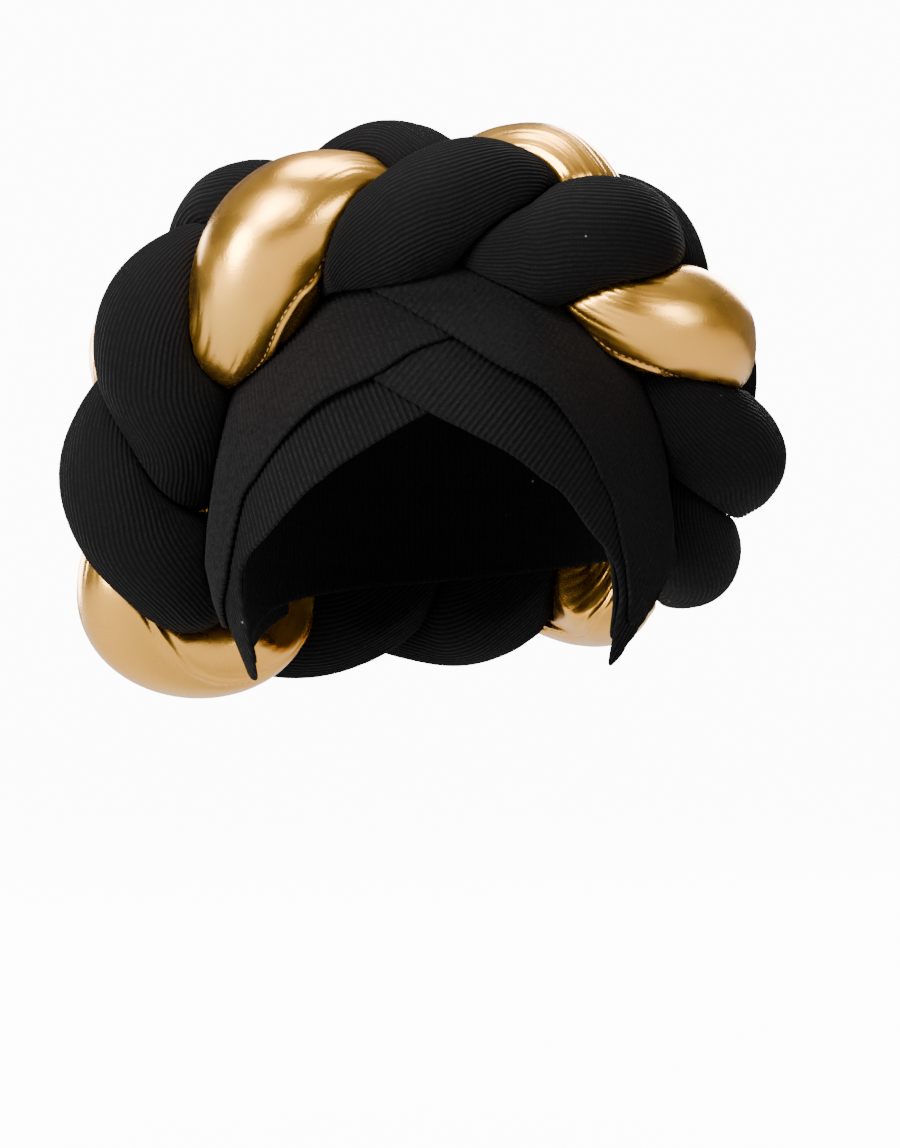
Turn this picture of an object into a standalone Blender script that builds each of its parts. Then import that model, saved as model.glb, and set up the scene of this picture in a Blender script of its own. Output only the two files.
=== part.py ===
"""Tied gele head tie: a ribbed turban with four crossed forehead pleats under a stuffed braid.

A thin cap follows the head. Four folded bands cross over the forehead in layers, each one
running back over an ear. A thick three-strand braid, one strand of gold cloth and two of
black, lies around the cap as a tilted ring, from the nape over the top of the head.

Metres, +Z up, -Y is the wearer's front. The origin is the inside of the crown, where the
cap rests on the head. A place on the cap is given by its azimuth (0 in front, 90 on +X),
its level (0 at the crown, 1 at the widest level, 2 at the hem) and its height above the
hollow.
"""

import math
from typing import NamedTuple

import bmesh
import bpy
import numpy as np

# Hollow of the cap, where the head goes in
HOLLOW_HALF_WIDTH = 0.080
HOLLOW_FRONT = 0.092
HOLLOW_BACK = 0.096
CROWN_HEIGHT = 0.085
SKIRT_DEPTH = 0.074

# Cloth
CAP_CLOTH = 0.0016
BAND_CLOTH = 0.0016
LAYER_GAP = 0.0008
FOLD_REACH = 0.0008

# Braid
STRAND_RADIUS = 0.0215
BRAID_SWAY = 0.0235
BRAID_LIFT = 0.0125
STRAND_GAP = 0.0008
REST_GAP = 0.0006
LEAST_REST = 0.0086
REST_EASE = 0.004
LOBES = 12
STRANDS = 3
FRONT_PASS = math.radians(100)

# Facets
CAP_COLUMNS = 38
CAP_RINGS = 10
BAND_SECTIONS = 24
BAND_STRIPS = 7
STRAND_SECTIONS = 72
STRAND_SIDES = 16
ROUTE_STEPS = 16
MARCH_STEPS = 16
HALVINGS = 6
SETTLE_ROUNDS = 4
LONGEST_REACH = 1.6
SLOPE_STEP = 0.01

# Where the braid meets the bands: levels above their upper edges, and degrees behind the ears
COVER_LEVELS = (0.26, 0.12)
COVER_ENDS = (142, 152)


class SkirtRow(NamedTuple):
    """Level ring below the widest level, as shares of the hollow's sizes."""
    depth: float
    side: float
    front: float
    back: float


SKIRT = (
    SkirtRow(0.00, 1.000, 1.00, 1.00),
    SkirtRow(0.22, 1.025, 1.00, 0.99),
    SkirtRow(0.42, 1.035, 1.00, 0.96),
    SkirtRow(0.60, 1.000, 0.99, 0.91),
    SkirtRow(0.80, 0.925, 0.96, 0.85),
    SkirtRow(1.00, 0.850, 0.91, 0.79),
)


class RimRow(NamedTuple):
    """Point of the cap's rim: azimuth in degrees and level."""
    azimuth: float
    level: float


# From the middle of the forehead over the +X side and the nape to the -X side
RIM = (
    RimRow(0, 0.77),
    RimRow(9, 0.84),
    RimRow(19, 0.91),
    RimRow(28, 1.01),
    RimRow(36, 1.16),
    RimRow(42, 1.29),
    RimRow(46, 1.44),
    RimRow(49, 1.62),
    RimRow(53, 1.78),
    RimRow(61, 1.60),
    RimRow(75, 1.41),
    RimRow(96, 1.35),
    RimRow(125, 1.38),
    RimRow(153, 1.44),
    RimRow(180, 1.50),
    RimRow(207, 1.55),
    RimRow(232, 1.64),
    RimRow(255, 1.80),
    RimRow(272, 1.90),
    RimRow(287, 1.90),
    RimRow(295, 1.71),
    RimRow(299, 1.56),
    RimRow(303, 1.40),
    RimRow(308, 1.29),
    RimRow(315, 1.20),
    RimRow(324, 1.07),
    RimRow(333, 0.95),
    RimRow(345, 0.85),
)


class BandRow(NamedTuple):
    """Section across a band, from its lower fold to its upper edge."""
    lower_azimuth: float
    lower_level: float
    upper_azimuth: float
    upper_level: float


LEFT_LOWER = (
    BandRow(13, 0.73, 0, 0.52),
    BandRow(-3, 0.83, -18, 0.58),
    BandRow(-16, 0.92, -34, 0.68),
    BandRow(-28, 1.01, -47, 0.80),
    BandRow(-37, 1.15, -56, 0.92),
    BandRow(-45, 1.28, -65, 1.05),
    BandRow(-52, 1.37, -73, 1.15),
    BandRow(-57, 1.48, -80, 1.22),
    BandRow(-59, 1.63, -87, 1.28),
    BandRow(-62, 1.78, -95, 1.33),
    BandRow(-71, 1.99, -104, 1.37),
    BandRow(-88, 1.97, -114, 1.40),
    BandRow(-110, 1.84, -126, 1.42),
    BandRow(-134, 1.68, -139, 1.44),
)

LEFT_UPPER = (
    BandRow(18, 0.55, 8, 0.30),
    BandRow(3, 0.63, -12, 0.28),
    BandRow(-6, 0.67, -24, 0.32),
    BandRow(-15, 0.74, -36, 0.38),
    BandRow(-28, 0.81, -50, 0.46),
    BandRow(-43, 0.94, -66, 0.56),
    BandRow(-53, 1.06, -80, 0.66),
    BandRow(-57, 1.25, -90, 0.76),
    BandRow(-62, 1.47, -99, 0.88),
    BandRow(-74, 1.64, -107, 1.00),
    BandRow(-88, 1.74, -116, 1.10),
    BandRow(-108, 1.70, -127, 1.17),
    BandRow(-132, 1.60, -140, 1.22),
)

RIGHT_LOWER = (
    BandRow(-25, 0.69, -14, 0.50),
    BandRow(-16, 0.74, -2, 0.52),
    BandRow(-3, 0.83, 17, 0.60),
    BandRow(7, 0.89, 27, 0.66),
    BandRow(18, 0.96, 38, 0.73),
    BandRow(28, 1.06, 48, 0.82),
    BandRow(36, 1.24, 58, 0.92),
    BandRow(43, 1.37, 67, 1.02),
    BandRow(48, 1.54, 76, 1.08),
    BandRow(50, 1.75, 85, 1.10),
    BandRow(53, 1.93, 93, 1.11),
    BandRow(58, 1.82, 100, 1.11),
    BandRow(67, 1.60, 107, 1.12),
    BandRow(81, 1.47, 114, 1.14),
    BandRow(101, 1.42, 122, 1.16),
    BandRow(127, 1.43, 134, 1.20),
)

RIGHT_UPPER = (
    BandRow(-32, 0.40, -22, 0.24),
    BandRow(-25, 0.46, -8, 0.22),
    BandRow(-11, 0.54, 10, 0.26),
    BandRow(3, 0.64, 25, 0.33),
    BandRow(13, 0.72, 37, 0.40),
    BandRow(23, 0.78, 48, 0.46),
    BandRow(31, 0.87, 58, 0.52),
    BandRow(38, 0.97, 67, 0.57),
    BandRow(43, 1.10, 75, 0.62),
    BandRow(46, 1.32, 84, 0.68),
    BandRow(49, 1.50, 94, 0.76),
    BandRow(54, 1.71, 104, 0.85),
    BandRow(62, 1.64, 112, 0.93),
    BandRow(76, 1.43, 120, 1.00),
    BandRow(98, 1.37, 128, 1.06),
    BandRow(125, 1.40, 138, 1.12),
)


class LayerStep(NamedTuple):
    """Where a band changes its layer: azimuths in degrees, layers before and after."""
    start: float
    end: float
    before: float
    after: float


LEFT_LOWER_LAYER = LayerStep(-180, 180, 0, 0)
RIGHT_LOWER_LAYER = LayerStep(12, 30, 1, 0)
LEFT_UPPER_LAYER = LayerStep(-45, -25, 1, 2)
RIGHT_UPPER_LAYER = LayerStep(20, 40, 3, 1)


class StationRow(NamedTuple):
    """Middle of one lobe of the braid: place on the cap and shares of the braid's sizes."""
    azimuth: float
    level: float
    stand: float
    sway: float
    lift: float
    girth: float


# Clockwise as seen from the front, from the nape's -X side over the top of the head
ROUTE = (
    StationRow(-147, 1.43, 1.22, 1.00, 0.95, 1.00),
    StationRow(-119, 1.49, 1.38, 1.00, 0.95, 1.06),
    StationRow(-102, 1.05, 1.40, 1.00, 0.95, 1.04),
    StationRow(-88, 0.70, 1.42, 0.97, 0.95, 1.08),
    StationRow(-65, 0.42, 1.16, 0.95, 0.90, 1.14),
    StationRow(-8, 0.235, 0.98, 0.92, 0.85, 1.00),
    StationRow(52, 0.35, 1.20, 0.92, 0.85, 1.00),
    StationRow(79, 0.55, 1.02, 0.95, 0.80, 1.00),
    StationRow(100, 0.82, 1.00, 0.97, 0.80, 0.98),
    StationRow(125, 1.07, 1.02, 1.00, 0.80, 0.98),
    StationRow(150, 1.27, 1.06, 1.00, 0.85, 1.00),
    StationRow(180, 1.37, 1.10, 1.00, 0.90, 1.00),
)
FIRST_LOBE = {"strand_gold": 1, "strand_black_a": 2, "strand_black_b": 3}


class Finish(NamedTuple):
    """Plain colour of one cloth."""
    colour: tuple
    roughness: float
    metallic: float


BLACK_KNIT = Finish((0.012, 0.012, 0.014, 1.0), 0.85, 0.0)
GOLD_CLOTH = Finish((0.80, 0.47, 0.16, 1.0), 0.28, 1.0)


def ramp(value, start, end):
    """Smooth step from 0 at start to 1 at end."""
    share = np.clip((value - start) / (end - start), 0.0, 1.0)
    return share * share * (3.0 - 2.0 * share)


def unit(vectors):
    """Vectors at length 1."""
    return vectors / np.linalg.norm(vectors, axis=-1, keepdims=True)


def along_rows(rows, place):
    """Smooth values between a table's rows, at places given in rows from the first."""
    values = np.asarray(rows, float)
    last = len(values) - 1
    padded = np.vstack([2 * values[0] - values[1], values, 2 * values[last] - values[last - 1]])
    index = np.clip(np.floor(place).astype(int), 0, last - 1)
    return spline_step(padded[index], padded[index + 1], padded[index + 2], padded[index + 3],
                       (place - index)[..., None])


def around_rows(rows, place):
    """Smooth values around a closed table, at places given in rows from the first."""
    values = np.asarray(rows, float)
    index = np.floor(place).astype(int)
    before, here, after, beyond = (values[(index + step) % len(values)] for step in (-1, 0, 1, 2))
    return spline_step(before, here, after, beyond, (place - index)[..., None])


def spline_step(before, here, after, beyond, share):
    """Catmull-Rom value between here and after."""
    bend = 2 * before - 5 * here + 4 * after - beyond + share * (3 * (here - after) + beyond - before)
    return here + 0.5 * share * (after - before + share * bend)


def form_radius(azimuth, level):
    """Radius of the hollow at an azimuth, level with the widest ring or below it."""
    depth = np.clip(level - 1.0, 0.0, 1.0)
    side, front, back = (np.interp(depth, [row.depth for row in SKIRT], column)
                         for column in list(zip(*SKIRT))[1:])
    wide = HOLLOW_HALF_WIDTH * side
    long = np.where(np.cos(azimuth) > 0, HOLLOW_FRONT * front, HOLLOW_BACK * back)
    return 1.0 / np.hypot(np.sin(azimuth) / wide, np.cos(azimuth) / long)


def form_point(azimuth, level, height):
    """Point at a height above the hollow's surface."""
    azimuth, level, height = np.broadcast_arrays(azimuth, level, height)
    radius = form_radius(azimuth, level)
    tilt = np.clip(1.0 - level, 0.0, 1.0) * math.pi / 2
    out = np.cos(tilt) / radius
    up = np.sin(tilt) / CROWN_HEIGHT
    steep = np.hypot(out, up)
    reach = radius * np.cos(tilt) + height * out / steep
    drop = CROWN_HEIGHT * (1.0 - np.sin(tilt)) + SKIRT_DEPTH * np.maximum(level - 1.0, 0.0)
    rise = height * up / steep - drop
    return np.stack([reach * np.sin(azimuth), -reach * np.cos(azimuth), rise], axis=-1)


def form_place(points):
    """Azimuth, level and height of points near the cap."""
    reach = np.hypot(points[..., 0], points[..., 1])
    rise = points[..., 2] + CROWN_HEIGHT
    azimuth = np.arctan2(points[..., 0], -points[..., 1])
    wide = form_radius(azimuth, np.ones_like(reach))
    tilt = np.arctan2(np.maximum(rise, 0.0) / CROWN_HEIGHT, reach / wide)
    level_below = 1.0 + np.maximum(-rise, 0.0) / SKIRT_DEPTH
    level = np.where(rise > 0, 1.0 - tilt / (math.pi / 2), level_below)
    dome = np.hypot(reach, rise) - np.hypot(wide * np.cos(tilt), CROWN_HEIGHT * np.sin(tilt))
    height = np.where(rise > 0, dome, reach - form_radius(azimuth, level_below))
    return azimuth, level, height


def layer_height(layer):
    """Height of the underside of a layer of bands; layer 0 lies on the cap."""
    return CAP_CLOTH + LAYER_GAP + layer * (BAND_CLOTH + LAYER_GAP)


def band_layer(step, azimuth):
    """Layer of a band at an azimuth in radians."""
    return step.before + (step.after - step.before) * ramp(np.degrees(azimuth), step.start, step.end)


def wrap_height(azimuth, level):
    """Height that the braid must clear: the cap, and the bands up to their upper edges."""
    degrees = np.degrees(azimuth)
    first = RIGHT_UPPER[0]
    left = [row for row in LEFT_UPPER if row.upper_azimuth < first.upper_azimuth]
    edges = sorted((row.upper_azimuth, row.upper_level) for row in left + list(RIGHT_UPPER))
    edge = np.interp(degrees, *zip(*edges))
    right = ramp(degrees, LEFT_UPPER_LAYER.start, first.lower_azimuth)
    left_azimuth = np.minimum(azimuth, math.radians(LEFT_UPPER_LAYER.start))
    top = (1 - right) * band_layer(LEFT_UPPER_LAYER, left_azimuth)
    top = top + right * band_layer(RIGHT_UPPER_LAYER, azimuth)
    around = 1 - ramp(np.abs(degrees), *COVER_ENDS)
    start, full = COVER_LEVELS
    cover = around * ramp(level, edge - start, edge - full)
    return CAP_CLOTH + (layer_height(top + 1) - LAYER_GAP - CAP_CLOTH) * cover


def ring_frames(place):
    """Middle line of the braid: points, directions across and outward, and shares."""
    azimuth = np.radians([row.azimuth for row in ROUTE])
    level = np.array([row.level for row in ROUTE])
    stand = STRAND_RADIUS * np.array([row.stand for row in ROUTE])
    points = form_point(azimuth, level, stand)
    outward = unit(points - form_point(azimuth, level, np.zeros_like(stand)))
    middle = around_rows(points, place)
    forward = unit(around_rows(points, place + SLOPE_STEP) - around_rows(points, place - SLOPE_STEP))
    out = around_rows(outward, place)
    out = unit(out - (out * forward).sum(-1, keepdims=True) * forward)
    shares = around_rows([row[3:] for row in ROUTE], place)
    return middle, np.cross(forward, out), out, shares


def strand_line(first_lobe, place):
    """Middle line of one strand: it lies high from an edge to the middle, then goes under."""
    middle, across, out, shares = ring_frames(place)
    turn = 2 * math.pi * (place - first_lobe) / STRANDS + FRONT_PASS
    sway = BRAID_SWAY * shares[..., 0] * np.sin(turn)
    lift = -BRAID_LIFT * shares[..., 1] * np.sin(2 * turn)
    points = middle + sway[..., None] * across + lift[..., None] * out
    azimuth, level, height = form_place(points)
    room = height - wrap_height(azimuth, level) - LEAST_REST
    push = 0.5 * (np.hypot(room, REST_EASE) - room)
    return points + push[..., None] * out


def distance_to_lines(points, lines):
    """Distance from each section's points to that section's stretch of a line."""
    gaps = points[:, :, None, :] - lines[:, None, :, :]
    return np.sqrt((gaps ** 2).sum(axis=-1)).min(axis=-1)


def strand_sections(name):
    """Sections of a strand, pressed flat where it meets its neighbours and the cap."""
    place = np.arange(STRAND_SECTIONS) * LOBES / STRAND_SECTIONS
    _, across, out, shares = ring_frames(place)
    first = FIRST_LOBE[name]
    own = strand_line(first, place)
    ahead = unit(strand_line(first, place + SLOPE_STEP) - strand_line(first, place - SLOPE_STEP))
    facing = unit(np.cross(out, across) + ahead)
    aside = unit(np.cross(facing, out))
    away = np.cross(aside, facing)
    girth = STRAND_RADIUS * shares[:, 2, None]
    angle = np.arange(STRAND_SIDES) * 2 * math.pi / STRAND_SIDES
    rays = np.cos(angle)[:, None] * aside[:, None] + np.sin(angle)[:, None] * away[:, None]
    nearby = place[:, None] + np.arange(-ROUTE_STEPS * 3 // 2, ROUTE_STEPS * 3 // 2 + 1) / ROUTE_STEPS
    lines = {key: strand_line(lobe, nearby) for key, lobe in FIRST_LOBE.items()}

    def pressed(points):
        """Distance to the own middle line, and how far points press into a neighbour or the wrap."""
        mine = distance_to_lines(points, lines[name])
        others = np.minimum(*(distance_to_lines(points, lines[key]) for key in FIRST_LOBE if key != name))
        azimuth, level, height = form_place(points)
        sunk = wrap_height(azimuth, level) + REST_GAP - height
        return mine, np.maximum((mine - others + STRAND_GAP) / 2, sunk)

    def outside(reach):
        """Where rays of a given reach end outside the strand."""
        mine, past = pressed(own[:, None] + rays * reach[..., None])
        return np.maximum(mine - girth, past) > 0

    longest = LONGEST_REACH * STRAND_RADIUS
    beyond = np.full((STRAND_SECTIONS, STRAND_SIDES), longest)
    for step in range(MARCH_STEPS, 0, -1):
        reach = np.full_like(beyond, longest * step / MARCH_STEPS)
        beyond = np.where(outside(reach), reach, beyond)
    inside = beyond - longest / MARCH_STEPS
    for _ in range(HALVINGS):
        reach = (inside + beyond) / 2
        past = outside(reach)
        beyond = np.where(past, reach, beyond)
        inside = np.where(past, inside, reach)
    for _ in range(SETTLE_ROUNDS):
        corner = own[:, None] + rays * inside[..., None]
        ahead, beside = np.roll(corner, -1, axis=0), np.roll(corner, -1, axis=1)
        opposite = np.roll(ahead, -1, axis=1)
        middles = [(corner + ahead) / 2, (corner + beside) / 2, (corner + opposite) / 2, (ahead + beside) / 2]
        lack = np.maximum(0.0, np.max([pressed(points)[1] for points in middles], axis=0))
        lack = np.maximum(lack, np.roll(lack, 1, axis=0))
        inside = inside - np.maximum(lack, np.roll(lack, 1, axis=1))
    return own[:, None] + rays * inside[..., None]


def band_sections(rows, step):
    """Closed sections of a folded band, each a thin loop with rounded edges."""
    rows = np.asarray(rows, float)
    place = np.linspace(0, len(rows) - 1, BAND_SECTIONS)
    lower_azimuth, lower_level, upper_azimuth, upper_level = along_rows(rows, place).T[..., None]
    lower_azimuth, upper_azimuth = np.radians(lower_azimuth), np.radians(upper_azimuth)
    lower = form_point(lower_azimuth, lower_level, 0.0)
    upper = form_point(upper_azimuth, upper_level, 0.0)
    fold = FOLD_REACH / np.linalg.norm(upper - lower, axis=-1)
    strips = np.linspace(0, 1, BAND_STRIPS + 1)
    inner = fold + (1 - 2 * fold) * strips
    zero = np.zeros_like(fold)
    shares = np.hstack([zero, inner, zero + 1, inner[:, ::-1]])
    rise = np.concatenate([[0.5], np.zeros(len(strips)), [0.5], np.ones(len(strips))])
    azimuth = lower_azimuth + (upper_azimuth - lower_azimuth) * shares
    level = lower_level + (upper_level - lower_level) * shares
    height = layer_height(band_layer(step, azimuth)) + BAND_CLOTH * rise
    return form_point(azimuth, level, height)


def cap_sections():
    """Level rings of the cap's wall, down its inside and up its outside."""
    place = np.arange(CAP_COLUMNS) * len(RIM) / CAP_COLUMNS
    turned = np.array(RIM, float) - [[360 * row / len(RIM), 0] for row in range(len(RIM))]
    azimuth, level = around_rows(turned, place).T
    azimuth = np.radians(azimuth + 360 * place / len(RIM))
    shares = np.arange(1, CAP_RINGS + 1) / CAP_RINGS
    inside = [form_point(azimuth, level * share, 0.0) for share in shares]
    outside = [form_point(azimuth, level * share, CAP_CLOTH) for share in shares]
    return inside + outside[::-1]


def loft(name, sections, closed=False, poles=None):
    """Solid through a row of closed sections, capped flat, at poles, or closed on itself."""
    mesh = bpy.data.meshes.new(name)
    bm = bmesh.new()
    rings = [[bm.verts.new(point) for point in section] for section in sections]
    pairs = list(zip(rings, rings[1:]))
    if closed:
        pairs.append((rings[-1], rings[0]))
    for ring, following in pairs:
        for corner in range(len(ring)):
            beside = (corner + 1) % len(ring)
            bm.faces.new((ring[corner], ring[beside], following[beside], following[corner]))
    if poles is not None:
        for pole, ring in zip(poles, (rings[0], rings[-1])):
            tip = bm.verts.new(pole)
            for corner in range(len(ring)):
                bm.faces.new((tip, ring[corner], ring[(corner + 1) % len(ring)]))
    elif not closed:
        bm.faces.new(rings[0])
        bm.faces.new(rings[-1])
    bmesh.ops.triangulate(bm, faces=bm.faces, quad_method="SHORT_EDGE")
    bmesh.ops.recalc_face_normals(bm, faces=bm.faces)
    if bm.calc_volume(signed=True) < 0:
        bmesh.ops.reverse_faces(bm, faces=bm.faces)
    bm.to_mesh(mesh)
    bm.free()
    mesh.shade_smooth()
    piece = bpy.data.objects.new(name, mesh)
    bpy.context.scene.collection.objects.link(piece)
    return piece


def dress(piece, finish):
    """Give a piece its own cloth."""
    cloth = bpy.data.materials.new(piece.name + "_cloth")
    cloth.use_nodes = True
    shader = cloth.node_tree.nodes["Principled BSDF"]
    shader.inputs["Base Color"].default_value = finish.colour
    shader.inputs["Roughness"].default_value = finish.roughness
    shader.inputs["Metallic"].default_value = finish.metallic
    cloth.diffuse_color = finish.colour
    piece.data.materials.append(cloth)


def make_cap():
    """Thin cap, open below and at the face."""
    poles = (form_point(0.0, 0.0, 0.0), form_point(0.0, 0.0, CAP_CLOTH))
    dress(loft("cap_shell", cap_sections(), poles=poles), BLACK_KNIT)


def make_bands():
    """Four folded bands, crossed over the forehead."""
    bands = {
        "band_left_lower": (LEFT_LOWER, LEFT_LOWER_LAYER),
        "band_right_lower": (RIGHT_LOWER, RIGHT_LOWER_LAYER),
        "band_left_upper": (LEFT_UPPER, LEFT_UPPER_LAYER),
        "band_right_upper": (RIGHT_UPPER, RIGHT_UPPER_LAYER),
    }
    for name, (rows, step) in bands.items():
        dress(loft(name, band_sections(rows, step)), BLACK_KNIT)


def make_braid():
    """Three stuffed strands, each closed on itself around the head."""
    for name in FIRST_LOBE:
        finish = GOLD_CLOTH if name == "strand_gold" else BLACK_KNIT
        dress(loft(name, strand_sections(name), closed=True), finish)


def main():
    """Clear the file and build the head tie."""
    for item in list(bpy.data.objects):
        bpy.data.objects.remove(item, do_unlink=True)
    make_cap()
    make_bands()
    make_braid()


main()
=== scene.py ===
"""Looks of the tied gele head tie: rib-knit cap and pleats under a stuffed black and gold braid.

Every form is worked out from the same named sizes as the part: a place on the head is given by
its azimuth (0 in front, 90 on +X), its level (0 at the crown, 1 at the widest level, 2 at the
hem) and its height above the hollow. The braid's places count its lobes, clockwise from the nape.
"""

import logging
import math
from dataclasses import dataclass
from enum import Enum

import bmesh
import bpy
import numpy as np
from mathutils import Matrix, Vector


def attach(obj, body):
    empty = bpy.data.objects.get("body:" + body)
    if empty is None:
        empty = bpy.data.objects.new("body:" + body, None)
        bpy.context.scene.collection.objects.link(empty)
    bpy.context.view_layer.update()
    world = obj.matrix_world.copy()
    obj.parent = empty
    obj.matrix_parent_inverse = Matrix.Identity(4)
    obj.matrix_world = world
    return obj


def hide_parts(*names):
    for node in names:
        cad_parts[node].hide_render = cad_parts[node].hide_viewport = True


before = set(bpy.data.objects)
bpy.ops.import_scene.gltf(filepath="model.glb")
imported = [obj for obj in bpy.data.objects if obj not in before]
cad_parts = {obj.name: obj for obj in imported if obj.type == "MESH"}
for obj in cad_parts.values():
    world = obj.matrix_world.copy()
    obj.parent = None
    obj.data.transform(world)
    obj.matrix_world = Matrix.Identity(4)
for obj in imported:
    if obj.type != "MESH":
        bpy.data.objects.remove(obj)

log = logging.getLogger("head_tie")

Rows = tuple[tuple[float, ...], ...]
Colour = tuple[float, float, float, float]
Outputs = bpy.types.NodeOutputs
TAU = 2 * math.pi

# Level rings below the widest level: depth, side, front, back as shares of the hollow's sizes
SKIRT: Rows = (
    (0.00, 1.000, 1.00, 1.00), (0.22, 1.025, 1.00, 0.99), (0.42, 1.035, 1.00, 0.96),
    (0.60, 1.000, 0.99, 0.91), (0.80, 0.925, 0.96, 0.85), (1.00, 0.850, 0.91, 0.79),
)

# Rim of the cap: azimuth in degrees and level, from the forehead over +X and the nape to -X
RIM: Rows = (
    (0, 0.77), (9, 0.84), (19, 0.91), (28, 1.01), (36, 1.16), (42, 1.29), (46, 1.44),
    (49, 1.62), (53, 1.78), (61, 1.60), (75, 1.41), (96, 1.35), (125, 1.38), (153, 1.44),
    (180, 1.50), (207, 1.55), (232, 1.64), (255, 1.80), (272, 1.90), (287, 1.90), (295, 1.71),
    (299, 1.56), (303, 1.40), (308, 1.29), (315, 1.20), (324, 1.07), (333, 0.95), (345, 0.85),
)

# Bands: lower azimuth, lower level, upper azimuth, upper level of each section
LEFT_LOWER: Rows = (
    (13, 0.73, 0, 0.52), (-3, 0.83, -18, 0.58), (-16, 0.92, -34, 0.68), (-28, 1.01, -47, 0.80),
    (-37, 1.15, -56, 0.92), (-45, 1.28, -65, 1.05), (-52, 1.37, -73, 1.15),
    (-57, 1.48, -80, 1.22), (-59, 1.63, -87, 1.28), (-62, 1.78, -95, 1.33),
    (-71, 1.99, -104, 1.37), (-88, 1.97, -114, 1.40), (-110, 1.84, -126, 1.42),
    (-134, 1.68, -139, 1.44),
)
LEFT_UPPER: Rows = (
    (18, 0.55, 8, 0.30), (3, 0.63, -12, 0.28), (-6, 0.67, -24, 0.32), (-15, 0.74, -36, 0.38),
    (-28, 0.81, -50, 0.46), (-43, 0.94, -66, 0.56), (-53, 1.06, -80, 0.66),
    (-57, 1.25, -90, 0.76), (-62, 1.47, -99, 0.88), (-74, 1.64, -107, 1.00),
    (-88, 1.74, -116, 1.10), (-108, 1.70, -127, 1.17), (-132, 1.60, -140, 1.22),
)
RIGHT_LOWER: Rows = (
    (-25, 0.69, -14, 0.50), (-16, 0.74, -2, 0.52), (-3, 0.83, 17, 0.60), (7, 0.89, 27, 0.66),
    (18, 0.96, 38, 0.73), (28, 1.06, 48, 0.82), (36, 1.24, 58, 0.92), (43, 1.37, 67, 1.02),
    (48, 1.54, 76, 1.08), (50, 1.76, 85, 1.10), (53, 1.92, 93, 1.11), (59, 1.83, 100, 1.11),
    (68, 1.66, 107, 1.12), (81, 1.51, 114, 1.14), (101, 1.42, 122, 1.16), (127, 1.43, 134, 1.20),
)
RIGHT_UPPER: Rows = (
    (-32, 0.40, -22, 0.24), (-25, 0.46, -8, 0.22), (-11, 0.54, 10, 0.26), (3, 0.64, 25, 0.33),
    (13, 0.72, 37, 0.40), (23, 0.78, 48, 0.46), (31, 0.87, 58, 0.52), (38, 0.97, 67, 0.57),
    (43, 1.10, 75, 0.62), (46, 1.32, 84, 0.68), (49, 1.50, 94, 0.76), (54, 1.71, 104, 0.85),
    (62, 1.64, 112, 0.93), (76, 1.43, 120, 1.00), (98, 1.37, 128, 1.06), (125, 1.40, 138, 1.12),
)

# Middles of the braid's lobes: azimuth, level, stand, sway, lift, girth
ROUTE: Rows = (
    (-147, 1.43, 1.22, 1.00, 0.95, 1.00), (-119, 1.49, 1.38, 1.00, 0.95, 1.06),
    (-102, 1.05, 1.40, 1.00, 0.95, 1.04), (-88, 0.70, 1.42, 0.97, 0.95, 1.08),
    (-65, 0.42, 1.16, 0.95, 0.90, 1.14), (-8, 0.235, 0.98, 0.92, 0.85, 1.00),
    (52, 0.35, 1.20, 0.92, 0.85, 1.00), (79, 0.55, 1.02, 0.95, 0.80, 1.00),
    (100, 0.82, 1.00, 0.97, 0.80, 0.98), (125, 1.07, 1.02, 1.00, 0.80, 0.98),
    (150, 1.27, 1.06, 1.00, 0.85, 1.00), (180, 1.37, 1.10, 1.00, 0.90, 1.00),
)


def ramp(value: np.ndarray, start: float, end: float) -> np.ndarray:
    """Smooth step from 0 at start to 1 at end."""
    share = np.clip((value - start) / (end - start), 0.0, 1.0)
    return share * share * (3.0 - 2.0 * share)


def hump(distance: np.ndarray, width: float) -> np.ndarray:
    """Soft hump of height 1 at distance 0."""
    return np.exp(-(distance / width) ** 2)


def centred(value: np.ndarray, period: float = TAU) -> np.ndarray:
    """Place in a cycle, as a value around 0."""
    return (value + period / 2) % period - period / 2


def unit(vectors: np.ndarray) -> np.ndarray:
    """Vectors at length 1."""
    return vectors / np.linalg.norm(vectors, axis=-1, keepdims=True)


def soft_most(first: np.ndarray, second: np.ndarray, blend: float) -> np.ndarray:
    """Larger of two values, rounded off where they are within blend of each other."""
    near = np.maximum(blend - np.abs(first - second), 0.0) / blend
    return np.maximum(first, second) + near * near * blend / 4


def spline_step(before, here, after, beyond, share) -> np.ndarray:
    """Catmull-Rom value between here and after."""
    bend = 2 * before - 5 * here + 4 * after - beyond + share * (3 * (here - after) + beyond - before)
    return here + 0.5 * share * (after - before + share * bend)


def along_rows(rows: Rows, place: np.ndarray) -> np.ndarray:
    """Smooth values between a table's rows, at places given in rows from the first."""
    values = np.asarray(rows, float)
    last = len(values) - 1
    padded = np.vstack([2 * values[0] - values[1], values, 2 * values[last] - values[last - 1]])
    index = np.clip(np.floor(place).astype(int), 0, last - 1)
    return spline_step(padded[index], padded[index + 1], padded[index + 2], padded[index + 3],
                       (place - index)[..., None])


def around_rows(rows: Rows | np.ndarray, place: np.ndarray) -> np.ndarray:
    """Smooth values around a closed table, at places given in rows from the first."""
    values = np.asarray(rows, float)
    index = np.floor(place).astype(int)
    before, here, after, beyond = (values[(index + step) % len(values)] for step in (-1, 0, 1, 2))
    return spline_step(before, here, after, beyond, (place - index)[..., None])


def smooth_noise(places: np.ndarray, count: int, rng: np.random.Generator) -> np.ndarray:
    """Smooth periodic noise from -1 to 1 over places 0 to 1, with count knots."""
    return around_rows(rng.uniform(-1, 1, (count, 1)), (places % 1.0) * count)[..., 0]


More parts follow.
